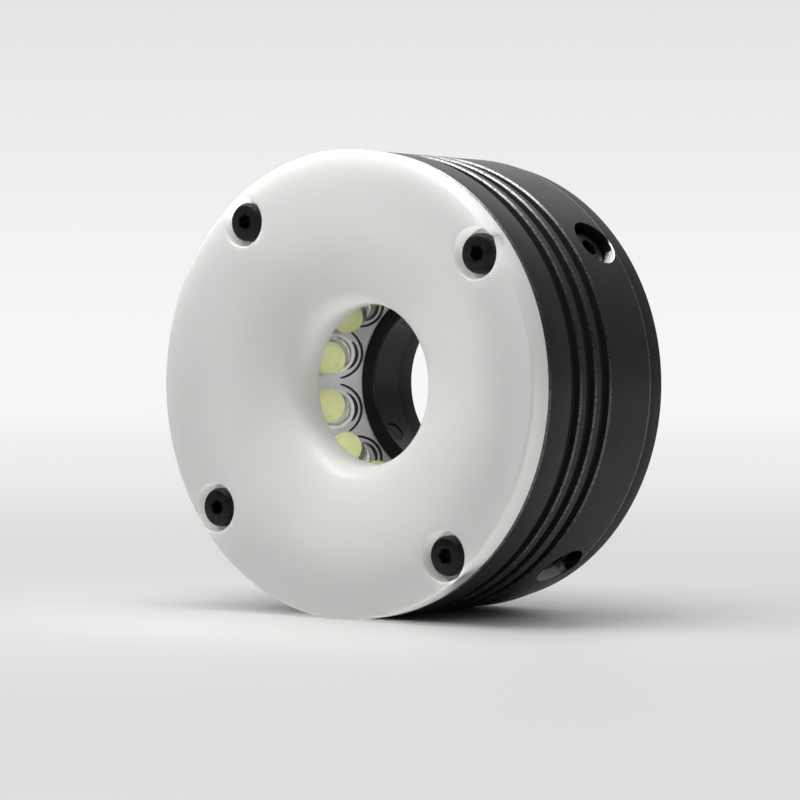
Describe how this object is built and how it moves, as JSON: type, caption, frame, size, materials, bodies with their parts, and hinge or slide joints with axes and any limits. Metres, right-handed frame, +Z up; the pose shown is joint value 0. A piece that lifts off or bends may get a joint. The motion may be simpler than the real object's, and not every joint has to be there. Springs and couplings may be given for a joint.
{
  "type": "machine vision ring light",
  "caption": "Black finned ring light with a bore for a camera lens, a trumpet-shaped white diffuser on the front, inward-tilted lamps inside, and radial screws that clamp it to the lens.",
  "frame": {"origin": "on the optical axis, in the plane of the four clamp screws that hold the lens", "axes": "+Y along the optical axis towards the camera, the front with the diffuser faces -Y, +Z up with the light lying on its side"},
  "size_m": [0.0714, 0.0322, 0.065],
  "materials": {
    "anodised": "satin black anodised",
    "opal": "opal, matt, lets light through",
    "board": "matt pale grey solder mask",
    "tape": "matt",
    "ink": "matt printed ink",
    "epoxy": "clear epoxy",
    "phosphor": "matt",
    "tinned": "tinned",
    "resistor": "matt",
    "black_steel": "black oxide",
    "nickel": "nickel plated",
    "rubber": "matt",
    "insulation": "smooth"
  },
  "bodies": {
    "light": {"housing": "anodised", "rear_plate": "anodised", "diffuser": "opal", "lamp_board": "board", "board_tape": "tape", "board_marks": "ink", "inner_lamps": "epoxy", "outer_lamps": "epoxy", "inner_phosphors": "phosphor", "outer_phosphors": "phosphor", "inner_leads": "tinned", "outer_leads": "tinned", "resistors": "resistor", "cover_screws": "black_steel", "rear_screws": "black_steel", "inlet_body": "nickel", "inlet_nut": "nickel", "inlet_grommet": "rubber", "supply_wires": "insulation"},
    "clamp_screw_1": {"clamp_screw_1": "black_steel"},
    "clamp_screw_2": {"clamp_screw_2": "black_steel"},
    "clamp_screw_3": {"clamp_screw_3": "black_steel"},
    "clamp_screw_4": {"clamp_screw_4": "black_steel"}
  },
  "joints": [
    {"name": "clamp_slide_1", "type": "slide", "parent": "light", "child": "clamp_screw_1", "axis": [-0.7912, 0, -0.6115], "range_m": [-0.0012, 0.002]},
    {"name": "clamp_slide_2", "type": "slide", "parent": "light", "child": "clamp_screw_2", "axis": [0.6115, 0, -0.7912], "range_m": [-0.0012, 0.002]},
    {"name": "clamp_slide_3", "type": "slide", "parent": "light", "child": "clamp_screw_3", "axis": [0.7912, 0, 0.6115], "range_m": [-0.0012, 0.002]},
    {"name": "clamp_slide_4", "type": "slide", "parent": "light", "child": "clamp_screw_4", "axis": [-0.6115, 0, 0.7912], "range_m": [-0.0012, 0.002]}
  ]
}
